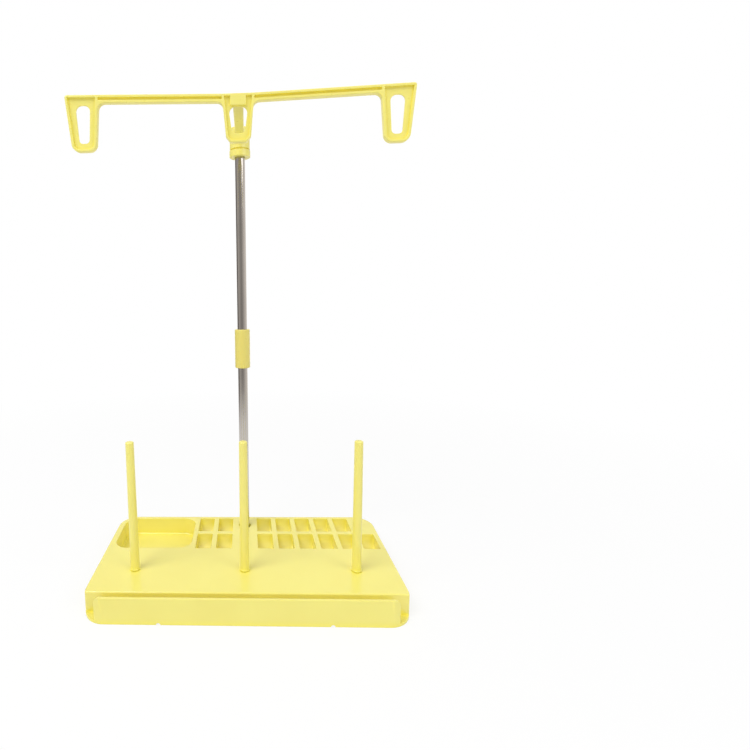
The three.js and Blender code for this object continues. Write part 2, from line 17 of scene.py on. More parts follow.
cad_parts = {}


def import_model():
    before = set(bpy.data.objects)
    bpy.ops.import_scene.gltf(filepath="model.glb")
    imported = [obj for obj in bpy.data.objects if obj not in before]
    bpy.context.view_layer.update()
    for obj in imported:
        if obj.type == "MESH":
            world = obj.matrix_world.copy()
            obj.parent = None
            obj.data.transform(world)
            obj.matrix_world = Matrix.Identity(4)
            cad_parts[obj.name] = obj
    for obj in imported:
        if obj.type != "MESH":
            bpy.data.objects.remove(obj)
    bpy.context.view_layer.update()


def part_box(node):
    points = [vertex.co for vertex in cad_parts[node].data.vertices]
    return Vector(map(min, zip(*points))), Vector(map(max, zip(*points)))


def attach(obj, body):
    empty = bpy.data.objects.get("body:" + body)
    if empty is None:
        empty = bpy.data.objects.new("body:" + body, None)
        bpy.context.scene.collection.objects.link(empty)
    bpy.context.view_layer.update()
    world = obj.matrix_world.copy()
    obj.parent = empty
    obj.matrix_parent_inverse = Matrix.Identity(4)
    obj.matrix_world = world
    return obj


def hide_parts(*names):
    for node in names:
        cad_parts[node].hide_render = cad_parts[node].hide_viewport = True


log = logging.getLogger("thread_stand")

MM = 0.001
QUARTER = math.pi / 2
LEAST_RADIUS = 0.05  # of any corner, so that every ring of a loft has the same number of points
BEND = 0.3  # where the middle of an edge of two faces lies, as a share of its size
WELD = 0.0008  # points closer than this become one
LEAST_EDGE = 0.0004  # shorter ones go
PINS = ("spool_pin_left", "spool_pin_middle", "spool_pin_right")

Corner = tuple[float, float, float]  # x, y, radius
Point = tuple[float, float, float]
Pair = tuple[float, float]
Ring = list[bmesh.types.BMVert]
Mouths = tuple[Ring, Ring]  # above the plate and under it
Socket = bpy.types.NodeSocket
Tint = Sequence[float] | Socket
Inputs = dict[str | int, object]
Owner = bpy.types.Material | bpy.types.World


def node_box(node: str) -> tuple[Vector, Vector]:
    """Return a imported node's lowest and highest corners in millimetres."""
    low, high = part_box(node)
    return Vector(low) / MM, Vector(high) / MM


def inset(corners: Sequence[Corner], distance: float) -> list[Corner]:
    """Move every edge of a polygon inward.

    Args:
        corners: The polygon's corners in counter-clockwise order.
        distance: How far inward, or outward if it is negative.

    Returns:
        The moved polygon's corners, with radii that keep the arcs concentric.
    """
    edges = []
    for here, after in zip(corners, [*corners[1:], corners[0]]):
        start = Vector(here[:2])
        direction = (Vector(after[:2]) - start).normalized()
        edges.append((start + Vector((-direction.y, direction.x)) * distance, direction))
    moved = []
    for i, (after_point, after) in enumerate(edges):
        before_point, before = edges[i - 1]
        gap = after_point - before_point
        turn = before.x * after.y - before.y * after.x
        corner = before_point + before * (gap.x * after.y - gap.y * after.x) / turn
        radius = corners[i][2] - math.copysign(1, turn) * distance
        moved.append((corner.x, corner.y, max(radius, LEAST_RADIUS)))
    return moved


def mirrored(corners: Sequence[Corner]) -> list[Corner]:
    """Return the polygon on the other side of x = 0, still counter-clockwise."""
    return [(-x, y, radius) for x, y, radius in reversed(corners)]


def both_sides(right: Sequence[Vector]) -> list[Vector]:
    """Return the points of a plan's right half and then those of the left half, which mirrors it."""
    return [*right, *(Vector((-point.x, point.y)) for point in reversed(right))]


def rectangle(x0: float, y0: float, x1: float, y1: float, radius: float) -> list[Corner]:
    """Return the corners of a rounded rectangle."""
    return [(x0, y0, radius), (x1, y0, radius), (x1, y1, radius), (x0, y1, radius)]


def arc(centre: Vector, radius: float, first: float, last: float, steps: int) -> list[Vector]:
    """Return the points of an arc.

    Args:
        centre: Its centre.
        radius: Its radius.
        first: The angle of its first point.
        last: The angle of its last point.
        steps: Stretches in it.

    Returns:
        Its points, one more than the stretches.
    """
    angles = [first + (last - first) * k / steps for k in range(steps + 1)]
    return [Vector((centre.x + radius * math.cos(a), centre.y + radius * math.sin(a))) for a in angles]


def rounded(corners: Sequence[Corner], steps: int = 8) -> list[Vector]:
    """Turn a polygon with corner radii into points.

    Args:
        corners: The polygon's corners, which may turn either way.
        steps: Stretches in each corner's arc.

    Returns:
        Its points in order. The count depends only on the corners and steps, so that rings match.
    """
    points = []
    for i, (x, y, radius) in enumerate(corners):
        corner = Vector((x, y))
        inward = (corner - Vector(corners[i - 1][:2])).normalized()
        outward = (Vector(corners[(i + 1) % len(corners)][:2]) - corner).normalized()
        side = math.copysign(1, inward.x * outward.y - inward.y * outward.x)
        turn = math.acos(max(-1, min(1, inward.dot(outward))))
        to_centre = Vector((-inward.y, inward.x)) * side
        centre = corner - inward * radius * math.tan(turn / 2) + to_centre * radius
        first = math.atan2(-to_centre.y, -to_centre.x)
        points += arc(centre, radius, first, first + side * turn, steps)
    return points


def edge_profile(radius: float, steps: int = 4) -> list[Pair]:
    """Return the profile of a rounded edge.

    Args:
        radius: Its radius.
        steps: Stretches in it.

    Returns:
        (inset, drop) pairs from the flat face to the wall below it.
    """
    angles = [QUARTER * k / steps for k in range(steps + 1)]
    return [(radius * (1 - math.sin(a)), radius * (1 - math.cos(a))) for a in angles]


def edge_from_wall(radius: float, steps: int = 4) -> list[Pair]:
    """Return an edge's pairs from the wall on, which are a fillet's (inset, rise) pairs too."""
    return edge_profile(radius, steps)[::-1]


def bevel(size: float) -> list[Pair]:
    """Return (inset, drop) pairs of a small edge of two faces, from the flat face to the wall."""
    return [(size, 0), (size * BEND, size * BEND), (0, size)]


def in_scene(name: str, data: bpy.types.ID) -> bpy.types.Object:
    """Return a new object of the scene, which shows the data."""
    thing = bpy.data.objects.new(name, data)
    bpy.context.scene.collection.objects.link(thing)
    return thing


def both_faces(levels: Sequence[Pair]) -> list[Pair]:
    """Return (inset, level) pairs of a plate's back half and then those of its front half."""
    return [*levels, *((distance, -level) for distance, level in reversed(levels))]


class Joining(Enum):
    """How one closed mesh is combined with another."""

    ADD = "UNION"
    CUT = "DIFFERENCE"
    SHARE = "INTERSECT"


class Shell:
    """A closed mesh under construction, in millimetres."""

    def __init__(self) -> None:
        """Start with an empty mesh."""
        self.mesh = bmesh.new()

    def ring(self, points: Sequence[Point]) -> Ring:
        """Add the vertices of one closed ring."""
        return [self.mesh.verts.new(point) for point in points]

    def level(self, points: Sequence[Vector], z: float) -> Ring:
        """Add a ring of plan points at one height."""
        return self.ring([(point.x, point.y, z) for point in points])

    def circle(self, centre: Vector, radius: float, z: float, steps: int = 48) -> Ring:
        """Add a level ring round a centre in plan."""
        return self.level(arc(centre, radius, 0, 2 * math.pi, steps)[:-1], z)

    def bridge(self, first: Ring, second: Ring) -> None:
        """Join two rings that have the same number of vertices with a strip of quads."""
        for quad in zip(first, first[1:] + first[:1], second[1:] + second[:1], second):
            self.mesh.faces.new(quad)

    def loft(self, rings: Sequence[Ring]) -> Sequence[Ring]:
        """Join a series of rings and return them."""
        for first, second in zip(rings, rings[1:]):
            self.bridge(first, second)
        return rings

    def well(self, rings: Sequence[Ring]) -> Ring:
        """Join a series of rings, close the last one and return the first."""
        self.mesh.faces.new(self.loft(rings)[-1])
        return rings[0]

    def solid(self, rings: Sequence[Ring]) -> None:
        """Join a series of rings and close both ends."""
        self.mesh.faces.new(self.well(rings))

    def fill(self, outer: Ring, holes: Sequence[Ring], normal: Point) -> None:
        """Fill the flat region inside a ring, leaving its holes open.

        Args:
            outer: The ring round the region.
            holes: Rings inside it.
            normal: The direction that the region faces.
        """
        edges = []
        for ring in (outer, *holes):
            for i, vertex in enumerate(ring):
                pair = (ring[i - 1], vertex)
                edges.append(self.mesh.edges.get(pair) or self.mesh.edges.new(pair))
        bmesh.ops.triangle_fill(self.mesh, use_beauty=True, edges=edges, normal=normal)

    def turned(self, profile: Sequence[Pair], centre: Vector = Vector((0, 0)), steps: int = 72) -> "Shell":
        """Add a turned solid.

        Args:
            profile: (radius, z) points from one end to the other. A radius of 0 closes an end, and a
                profile that ends where it starts closes on itself.
            centre: The axis in plan.
            steps: Facets round the axis.

        Returns:
            This mesh.
        """
        closed = profile[0] == profile[-1]
        rings = [self.circle(centre, radius, z, steps if radius else 1)
                 for radius, z in (profile[:-1] if closed else profile)]
        for first, second in zip(rings, rings[1:] + rings[:1] if closed else rings[1:]):
            if len(first) == len(second):
                self.bridge(first, second)
                continue
            tip, rim = sorted((first, second), key=len)
            for i in range(steps):
                self.mesh.faces.new((tip[0], rim[i - 1], rim[i]))
        return self

    def move(self, by: Vector) -> "Shell":
        """Move the whole mesh and return it."""
        bmesh.ops.translate(self.mesh, verts=self.mesh.verts, vec=by)
        return self

    def combine(self, other: "Shell", how: Joining) -> None:
        """Add another closed mesh to this one or cut with it.

        Args:
            other: The other mesh, which is used up.
            how: What is kept of the two.
        """
        both = []
        for shell in (self, other):
            bmesh.ops.recalc_face_normals(shell.mesh, faces=shell.mesh.faces)
            both.append(shell.placed("temporary"))
        boolean = both[0].modifiers.new("combine", "BOOLEAN")
        boolean.object, boolean.operation, boolean.solver = both[1], how.value, "EXACT"
        result = both[0].evaluated_get(bpy.context.evaluated_depsgraph_get()).to_mesh()
        self.mesh = bmesh.new()
        self.mesh.from_mesh(result)
        for body in both:
            data = body.data
            bpy.data.objects.remove(body)
            bpy.data.meshes.remove(data)

    def placed(self, name: str) -> bpy.types.Object:
        """Put the mesh into the scene, which uses it up.

        Args:
            name: The name of its object.

        Returns:
            The object.
        """
        data = bpy.data.meshes.new(name)
        self.mesh.to_mesh(data)
        self.mesh.free()
        return in_scene(name, data)

    def to_object(self, name: str, place: Vector = Vector((0, 0, 0)), sharp: float = 35
                  ) -> bpy.types.Object:
        """Make the finished piece.

        Args:
            name: Its name.
            place: Where the mesh's own origin goes, in millimetres.
            sharp: Edges that turn by more than this many degrees stay sharp.

        Returns:
            The piece, in metres, with its place in its mesh.
        """
        mesh = self.mesh
        bmesh.ops.remove_doubles(mesh, verts=mesh.verts, dist=WELD)
        bmesh.ops.dissolve_degenerate(mesh, edges=mesh.edges, dist=LEAST_EDGE)
        bmesh.ops.recalc_face_normals(mesh, faces=mesh.faces)
        self.move(place)
        bmesh.ops.scale(mesh, verts=mesh.verts, vec=(MM, MM, MM))
        for face in mesh.faces:
            face.smooth = True
        open_edges = 0
        for edge in mesh.edges:
            manifold = len(edge.link_faces) == 2
            edge.smooth = manifold and edge.calc_face_angle(0) < math.radians(sharp)
            open_edges += not manifold
        piece = self.placed(name)
        piece.modifiers.new("weighted_normals", "WEIGHTED_NORMAL").keep_sharp = True
        log.info("%s: %d faces, %d open edges", name, len(piece.data.polygons), open_edges)
        return piece


class NodeSheet:
    """The node tree of a material or a world, with short calls for adding nodes and joining them."""

    def __init__(self, owner: Owner) -> None:
        """Start with an empty tree.

        Args:
            owner: The new material or world whose tree it is.
        """
        owner.use_nodes = True
        self.owner, self.tree = owner, owner.node_tree
        self.tree.nodes.clear()
        self.output = self.add("OutputWorld" if isinstance(owner, bpy.types.World) else "OutputMaterial")

    def add(self, kind: str, inputs: Inputs | None = None, **settings: object) -> bpy.types.Node:
        """Add a node.

        Args:
            kind: Its type, without the ShaderNode in front.
            inputs: Values or sockets for its inputs, by name or number.
            **settings: Its properties.

        Returns:
            The node.
        """
        node = self.tree.nodes.new(f"ShaderNode{kind}")
        for key, value in settings.items():
            setattr(node, key, value)
        for key, value in (inputs or {}).items():
            if isinstance(value, Socket):
                self.tree.links.new(value, node.inputs[key])
            else:
                node.inputs[key].default_value = value
        return node

    def noise(self, scale: float, detail: float, stretch: Point = (1, 1, 1)) -> Socket:
        """Add a noise that is fixed to the piece.

        Args:
            scale: Waves to the metre, roughly.
            detail: Octaves.
            stretch: Factors on the three axes. A small one draws the noise out along that axis.

        Returns:
            The socket of its value.
        """
        place = self.add("TexCoord").outputs["Object"]
        mapped = self.add("Mapping", {"Vector": place, "Scale": stretch}).outputs["Vector"]
        return self.add("TexNoise", {"Vector": mapped, "Scale": scale, "Detail": detail}).outputs["Fac"]

    def mapped(self, value: Socket, limits: Pair, low: float, high: float) -> Socket:
        """Map a value between two limits to a low and a high number."""
        inputs = {"Value": value, "From Min": limits[0], "From Max": limits[1], "To Min": low, "To Max": high}
        return self.add("MapRange", inputs).outputs["Result"]

    def ranged(self, noise: Socket, low: float, high: float) -> Socket:
        """Map the middle of a noise's range to a low and a high number."""
        return self.mapped(noise, (0.3, 0.7), low, high)

    def bump(self, height: Socket, depth: float, strength: float, below: Socket | None = None) -> Socket:
        """Add a bump.

        Args:
            height: The socket of its height.
            depth: Its depth in millimetres.
            strength: Its share of that depth.
            below: The normal of a bump that it lies over.

        Returns:
            The socket of its normal.
        """
        inputs = {"Height": height, "Distance": depth * MM, "Strength": strength}
        if below is not None:
            inputs["Normal"] = below
        return self.add("Bump", inputs).outputs["Normal"]

    def mixed(self, factor: Socket, low: Tint, high: Tint) -> Socket:
        """Mix two colours.

        Args:
            factor: The socket of the second one's share.
            low: The first colour, as three numbers or as a socket.
            high: The second colour.

        Returns:
            The socket of the mixed colour.
        """
        mix = self.add("Mix", data_type="RGBA")
        self.tree.links.new(factor, mix.inputs["Factor"])
        for key, tint in (("A", low), ("B", high)):
            if isinstance(tint, Socket):
                self.tree.links.new(tint, mix.inputs[key])
            else:
                mix.inputs[key].default_value = (*tint, 1)
        return mix.outputs["Result"]

    def blended(self, factor: Socket, first: bpy.types.Node, second: bpy.types.Node) -> bpy.types.Node:
        """Mix two shaders, the second one by the factor's share."""
        return self.add("MixShader", {0: factor, 1: first.outputs[0], 2: second.outputs[0]})

    def by_ray(self, light: bpy.types.Node, sight: bpy.types.Node, gloss: bpy.types.Node) -> bpy.types.Node:
        """Choose a shader by what a ray is for.

        Args:
            light: The shader that lights the object.
            sight: The one that the camera and clear bodies see.
            gloss: The one that gloss mirrors.

        Returns:
            The mixed shader.
        """
        path = self.add("LightPath").outputs
        seen = self.add("Math", {0: path["Is Camera Ray"], 1: path["Is Transmission Ray"]},
                        operation="MAXIMUM").outputs[0]
        return self.blended(path["Is Glossy Ray"], self.blended(seen, light, sight), gloss)

    def finish(self, shader: bpy.types.Node) -> Owner:
        """Send a shader to the output and return the material or world."""
        self.tree.links.new(shader.outputs[0], self.output.inputs["Surface"])
        return self.owner


@dataclass(frozen=True)
class MouldedPlastic:
    """Glossy moulded plastic with the soft waves and fine skin of an injection mould.

    Nooks get a deeper golden colour painted into the base colour by ambient occlusion: painted shade
    that stands in for light going from wall to wall in them.
    """

    name: str
    colour: Point
    # painted shade: the golden colour painted into nooks and recesses in place of their shade
    painted_nook_shade: Point
    roughness: float
    wear: float = 0.03  # how far the roughness varies
    paler: float = 1.02
    deeper: Point = (0.985, 0.975, 0.93)
    cloud_noise: Pair = (28, 3)  # waves to the metre and octaves, as are the next three
    wave_noise: Pair = (110, 1)
    wear_noise: Pair = (420, 4)
    skin_noise: Pair = (700, 2)
    wave_bump: Pair = (0.05, 0.3)  # depth and strength, as is the next one
    skin_bump: Pair = (0.005, 0.15)
    reach: float = 5  # to the walls of nooks, for the ambient occlusion that places the painted shade
    openness: Pair = (0.4, 0.95)  # over which a spot turns from the painted shade of nooks to its own colour
    glow: float = 1.2  # how deep light goes into it

    def material(self) -> bpy.types.Material:
        """Make the material.

        Returns:
            The material.
        """
        sheet = NodeSheet(bpy.data.materials.new(self.name))
        pale = tuple(min(channel * self.paler, 1) for channel in self.colour)
        deep = tuple(channel * share for channel, share in zip(self.colour, self.deeper))
        cloud = sheet.mixed(sheet.ranged(sheet.noise(*self.cloud_noise), 0, 1), deep, pale)
        # painted shade: ambient occlusion mixes a deeper golden colour into the base colour in recesses and
        # corners
        occlusion = sheet.add("AmbientOcclusion", {"Distance": self.reach * MM}, samples=8)
        unshaded_share = sheet.mapped(occlusion.outputs["AO"], self.openness, 0, 1)
        waves = sheet.bump(sheet.noise(*self.wave_noise), *self.wave_bump)
        roughness = sheet.ranged(sheet.noise(*self.wear_noise), self.roughness - self.wear,
                                 self.roughness + self.wear)
        return sheet.finish(sheet.add("BsdfPrincipled", {
            "Base Color": sheet.mixed(unshaded_share, self.painted_nook_shade, cloud),
            "Roughness": roughness,
            "Normal": sheet.bump(sheet.noise(*self.skin_noise), *self.skin_bump, waves),
            "IOR": 1.54,
            "Specular IOR Level": 0.75,
            "Subsurface Weight": 0.12,
            "Subsurface Radius": (1.0, 0.85, 0.25),
            "Subsurface Scale": self.glow * MM,
        }))


@dataclass(frozen=True)
class DrawnSteel:
    """Bright steel tube with the fine lengthwise lines left by drawing."""

    name: str
    colour: Point
    roughness: float = 0.14
    smear: Pair = (-0.05, 0.08)  # how far the roughness varies
    duller: float = 0.86
    line_noise: tuple[float, float, Point] = (1500, 3, (1, 1, 0.02))  # with the stretch last
    tint_noise: tuple[float, float, Point] = (60, 3, (1, 1, 0.4))
    line_bump: Pair = (0.006, 0.3)

    def material(self) -> bpy.types.Material:
        """Make the material.

        Returns:
            The material.
        """
        sheet = NodeSheet(bpy.data.materials.new(self.name))
        lines = sheet.noise(*self.line_noise)
        tint = sheet.ranged(sheet.noise(*self.tint_noise), 0, 1)
        dull = tuple(channel * self.duller for channel in self.colour)
        return sheet.finish(sheet.add("BsdfPrincipled", {
            "Base Color": sheet.mixed(tint, dull, self.colour),
            "Roughness": sheet.ranged(lines, *(self.roughness + change for change in self.smear)),
            "Metallic": 1.0,
            "Normal": sheet.bump(lines, *self.line_bump),
        }))


class Facing(Enum):
    """The plane in which a ribbed plate is drawn."""

    FRONT = "x across, z up, y through the thickness"
    SIDE = "y across, z up, x through the thickness"

    def place(self, across: float, up: float, through: float) -> Point:
        """Return a point of the plate in space."""
        return (across, through, up) if self is Facing.FRONT else (through, across, up)


@dataclass
class Panel:
    """A sunk area on both faces of a ribbed plate, perhaps with a hole through its floor."""

    edge: list[Corner]
    hole: list[Corner] = field(default_factory=list)


@dataclass
class RibbedPlate:
    """A flat moulding, alike on both faces, whose rims and ribs stand round sunk panels."""

    outline: list[Corner]
    thickness: float
    web: float
    facing: Facing
    panels: list[Panel] = field(default_factory=list)
    peg: list[Corner] = field(default_factory=list)  # on the back face
    peg_length: float = 0
    edge: float = 0.4
    panel_edge: float = 0.25
    hole_edge: float = 0.15
    floor_fillet: float = 0.2

    def build(self) -> Shell:
        """Build the plate.

        Returns:
            Its closed mesh.
        """
        shell = Shell()
        half, floor, across = self.thickness / 2, self.web / 2, self.facing.place(0, 0, 1)
        wall = [(i, half - drop) for i, drop in edge_profile(self.edge)]
        bore_wall = [(-i, floor - drop) for i, drop in edge_profile(self.hole_edge)]
        sunk = [(-i, half - drop) for i, drop in edge_profile(self.panel_edge)]
        sunk += [(i, floor + rise) for i, rise in edge_from_wall(self.floor_fillet, 3)]
        outer = self._loft(shell, self.outline, both_faces(wall))
        bores = [self._loft(shell, panel.hole, both_faces(bore_wall)) if panel.hole else []
                 for panel in self.panels]
        for side, end in ((1, 0), (-1, -1)):
            openings = []
            for panel, bore in zip(self.panels, bores):
                rings = self._loft(shell, panel.edge, [(i, side * level) for i, level in sunk])
                shell.fill(rings[-1], [bore[end]] if bore else [], across)
                openings.append(rings[0])
            if self.peg and side > 0:
                tip = [(i, level + self.peg_length) for i, level in reversed(wall)]
                rings = self._loft(shell, self.peg, [(0, half), *tip])
                shell.mesh.faces.new(rings[-1])
                openings.append(rings[0])
            shell.fill(outer[end], openings, across)
        return shell

    def _loft(self, shell: Shell, corners: Sequence[Corner], levels: Sequence[Pair]) -> Sequence[Ring]:
        """Add a wall that follows a polygon.

        Args:
            shell: The mesh.
            corners: The polygon.
            levels: For each ring, how far it is moved inward and its level in the thickness.

        Returns:
            The wall's rings.
        """
        return shell.loft([
            shell.ring([self.facing.place(*point, level) for point in rounded(inset(corners, distance))])
            for distance, level in levels])


@dataclass
class BaseTray:
    """The moulded base: hollow plate, accessory tray, bobbin slots, bosses, front channel and lip."""

    width: float = 215
    depth: float = 119
    height: float = 16.2
    corner_radius: float = 15.5
    top_edge: float = 1.2
    bottom_edge: float = 0.3
    rim_wall: float = 1.8
    rim_bevel: float = 0.2  # inside the rim's foot
    plate: float = 2
    pocket_wall: float = 1.5
    mouth: float = 0.45  # rounding round the mouths of the tray and the slots
    tray: tuple[float, float, float, float] = (-102.5, 6.7, -42.1, 55.8)
    tray_radius: float = 11
    tray_floor: float = 2
    tray_fillet: float = 1.4
    slot_pitch: float = 16.2
    slot_width: float = 12.2
    slot_radius: float = 11.2
    slot_straight: float = 1.3
    slot_fillet: float = 0.7
    slot_root_fillet: float = 1
    back_row: tuple[float, tuple[int, ...]] = (44.6, (-2, -1, 1, 2, 3, 4, 5))
    front_row: tuple[float, tuple[int, ...]] = (17.9, (-2, -1, 1, 2, 3, 4, 5, 6))
    channel_back: float = -49.2
    channel_floor: float = 2
    channel_corner: float = 0.8  # rounding of the plate's front corners
    floor_overlap: Pair = (0.2, 0.9)  # of the channel's floor and the plate, at its underside and above
    lip_thickness: float = 2
    lip_top: float = 18.4
    lip_half_length: float = 98.2
    lip_end_radius: float = 4
    lip_edge: float = 0.5
    lip_blank: Pair = (-2, 30)  # bottom of the lip and top of the solid that cut each other
    notch_x: float = 56
    notch_radius: float = 1.5
    notch_reach: float = 3  # from the front of the lip, inward and outward
    socket_edge: float = 0.3
    boss_floor: float = 0.8
    boss_edge: float = 0.5
    # radius and bottom of a socket, radius of its boss, radius and depth of the recess round its mouth
    pin_bore: tuple[float, ...] = (2.8, 8.2, 5.3, 2.8, 0)
    mast_bore: tuple[float, ...] = (4.1, 4.9, 6.2, 5.0, 1.2)

    @property
    def ceiling(self) -> float:
        """Return the height of the plate's underside."""
        return self.height - self.plate

    def build(self) -> bpy.types.Object:
        """Build the base tray.

        Returns:
            The piece.
        """
        shell = self._plate()
        shell.combine(self._front(), Joining.ADD)
        radius, reach = self.notch_radius, self.notch_reach
        for side in (-1, 1):
            notch = Shell().turned([(0, -reach), (radius, -reach), (radius, reach), (0, reach)], steps=32)
            bmesh.ops.transform(notch.mesh, matrix=Matrix.Rotation(QUARTER, 4, "X"), verts=notch.mesh.verts)
            shell.combine(notch.move(Vector((side * self.notch_x, -self.depth / 2, 0))), Joining.CUT)
        return shell.to_object("base_tray_moulding")

    def _block_plan(self, distance: float) -> list[Vector]:
        """Return the outline of the part behind the channel.

        Args:
            distance: How far it is moved inward.

        Returns:
            Its points in counter-clockwise order, always the same number of them.
        """
        radius = self.corner_radius - distance
        back = Vector((self.width / 2 - self.corner_radius, self.depth / 2 - self.corner_radius))
        front = Vector((back.x, -back.y))
        cut = self.channel_back + distance
        first = math.asin((cut - front.y) / radius)
        side = arc(front, radius, first + self.channel_corner / radius, 0, 6)
        corner = Vector((front.x + radius * math.cos(first), cut))
        before = corner - Vector((self.channel_corner, 0))
        bend = [before * (1 - t) ** 2 + corner * 2 * t * (1 - t) + side[0] * t ** 2
                for t in (k / 6 for k in range(6))]
        return both_sides([*bend, *side, *arc(back, radius, 0, QUARTER, 14)])

    def _floor_plan(self, distance: float, overlap: float) -> list[Vector]:
        """Return the outline of the channel's floor.

        Args:
            distance: How far its front and ends are moved inward.
            overlap: How far it reaches into the wall behind the channel.

        Returns:
            Its points in counter-clockwise order, always the same number of them.
        """
        radius = self.corner_radius - distance
        centre = Vector((self.width / 2 - self.corner_radius, self.corner_radius - self.depth / 2))
        last = math.asin((self.channel_back + overlap - centre.y) / radius)
        return both_sides(arc(centre, radius, -QUARTER, last, 14))

    def _plate(self) -> Shell:
        """Build the hollow plate with everything that is sunk into it.

        Returns:
            Its closed mesh.
        """
        shell = Shell()
        wall, size = self.rim_wall, self.rim_bevel
        levels = [(i, self.height - drop) for i, drop in edge_profile(self.top_edge)]
        levels += [*edge_from_wall(self.bottom_edge), (wall - size, 0), (wall, size), (wall, self.ceiling)]
        rings = shell.loft([shell.level(self._block_plan(i), z) for i, z in levels])
        sunk = [self._tray(shell)]
        sunk += [self._slot(shell, Vector((column * self.slot_pitch, y)))
                 for y, columns in (self.back_row, self.front_row) for column in columns]
        sunk += [self._socket(shell, node, self.pin_bore) for node in PINS]
        sunk.append(self._socket(shell, "lower_tube", self.mast_bore))
        mouths, roots = zip(*sunk)
        shell.fill(rings[0], mouths, (0, 0, 1))
        shell.fill(rings[-1], roots, (0, 0, -1))
        return shell

    def _tray(self, shell: Shell) -> Mouths:
        """Add the accessory tray.

        Args:
            shell: The mesh.

        Returns:
            The rings of its mouth and of its root under the plate.
        """
        plan, wall = rectangle(*self.tray, self.tray_radius), self.pocket_wall
        fillet = edge_from_wall(self.tray_fillet, 5)
        inside = [(-i, self.height - drop) for i, drop in edge_profile(self.mouth)]
        inside += [(i, self.tray_floor + rise) for i, rise in fillet]
        outside = [(-wall, self.ceiling), *((i - wall, rise) for i, rise in fillet)]
        return tuple(shell.well([shell.level(rounded(inset(plan, i), 14), z) for i, z in levels])
                     for levels in (inside, outside))

    def _slot(self, shell: Shell, middle: Vector) -> Mouths:
        """Add a half-round bobbin slot.

        Args:
            shell: The mesh.
            middle: Its middle in plan.

        Returns:
            The rings of its mouth and of its root.
        """
        half, reach, fillet = self.slot_width / 2, self.slot_radius, self.slot_fillet
        top = self._trough(shell, middle, 0, fillet, self.height - self.mouth)
        plan = rectangle(middle.x - half, middle.y - reach, middle.x + half, middle.y + reach, fillet)
        mouth = [shell.level(rounded(inset(plan, -i), 4), self.height - drop)
                 for i, drop in edge_profile(self.mouth)[:-1]]
        shell.loft([*mouth, top])
        return mouth[0], self._trough(shell, middle, self.pocket_wall, self.slot_root_fillet, self.ceiling)

    def _trough(self, shell: Shell, middle: Vector, wall: float, fillet: float, top: float) -> Ring:
        """Add a half-round trough.

        Args:
            shell: The mesh.
            middle: Its middle in plan.
            wall: How far it lies outside the slot.
            fillet: The rounding between its bottom and its flat sides.
            top: The height of its open top.

        Returns:
            The ring of its open top, in the order of a rounded rectangle with four steps a corner.
        """
        centre = Vector((0, self.height - self.slot_straight))
        left = [(i - (self.slot_width / 2 + wall), rise) for i, rise in edge_from_wall(fillet)]
        strips = []
        for x, shrink in left + [(-x, shrink) for x, shrink in reversed(left)]:
            reach = self.slot_radius + wall - shrink
            start = math.asin(max(centre.y - top, 0) / reach)
            points = arc(centre, reach, math.pi + start, 2 * math.pi - start, 24)
            if top > centre.y:
                points = [Vector((-reach, top)), *points, Vector((reach, top))]
            strips.append(shell.ring([(middle.x + x, middle.y + point.x, point.y) for point in points]))
        for first, second in zip(strips, strips[1:]):
            for quad in zip(first, first[1:], second[1:], second):
                shell.mesh.faces.new(quad)
        for end in (strips[0], strips[-1]):
            shell.mesh.faces.new(end)
        return [strip[0] for strip in strips] + [strip[-1] for strip in reversed(strips)]

    def _socket(self, shell: Shell, node: str, bore: Sequence[float]) -> Mouths:
        """Add a round socket in its boss.

        Args:
            shell: The mesh.
            node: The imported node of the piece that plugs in.
            bore: Its sizes, in the order of the fields for them.

        Returns:
            The rings of its mouth and of its root.
        """
        low, high = node_box(node)
        radius, bottom, boss, wide, deep = bore
        inside = [(wide + i, self.height - drop) for i, drop in bevel(self.socket_edge)]
        if deep:
            inside += [(wide, self.height - deep), (radius, self.height - deep)]
        outside = [(boss, self.ceiling)]
        outside += [(boss - i, self.boss_floor + rise) for i, rise in reversed(bevel(self.boss_edge))]
        return tuple(shell.well([shell.circle((low + high) / 2, size, z) for size, z in levels])
                     for levels in ([*inside, (radius, bottom)], outside))

    def _front(self) -> Shell:
        """Build the channel's floor and the lip along the front.

        Returns:
            Their closed mesh.
        """
        (under, above), (low, high) = self.floor_overlap, self.lip_blank
        floor, bound = Shell(), Shell()
        floor.solid([floor.level(self._floor_plan(i, above if z else under), z)
                     for i, z in (*bevel(self.bottom_edge), (0, self.channel_floor))])
        bound.solid([bound.level(self._floor_plan(0, above), z) for z in (self.channel_floor, high)])
        end, top, bend, edge = self.lip_half_length, self.lip_top, self.lip_end_radius, self.lip_edge
        view = [(-end, low, edge), (end, low, edge), (end, top, bend), (-end, top, bend)]
        lip = RibbedPlate(view, self.lip_thickness, 0, Facing.FRONT, edge=edge).build()
        lip.move(Vector((0, (self.lip_thickness - self.depth) / 2, 0)))
        lip.combine(bound, Joining.SHARE)
        floor.combine(lip, Joining.ADD)
        return floor


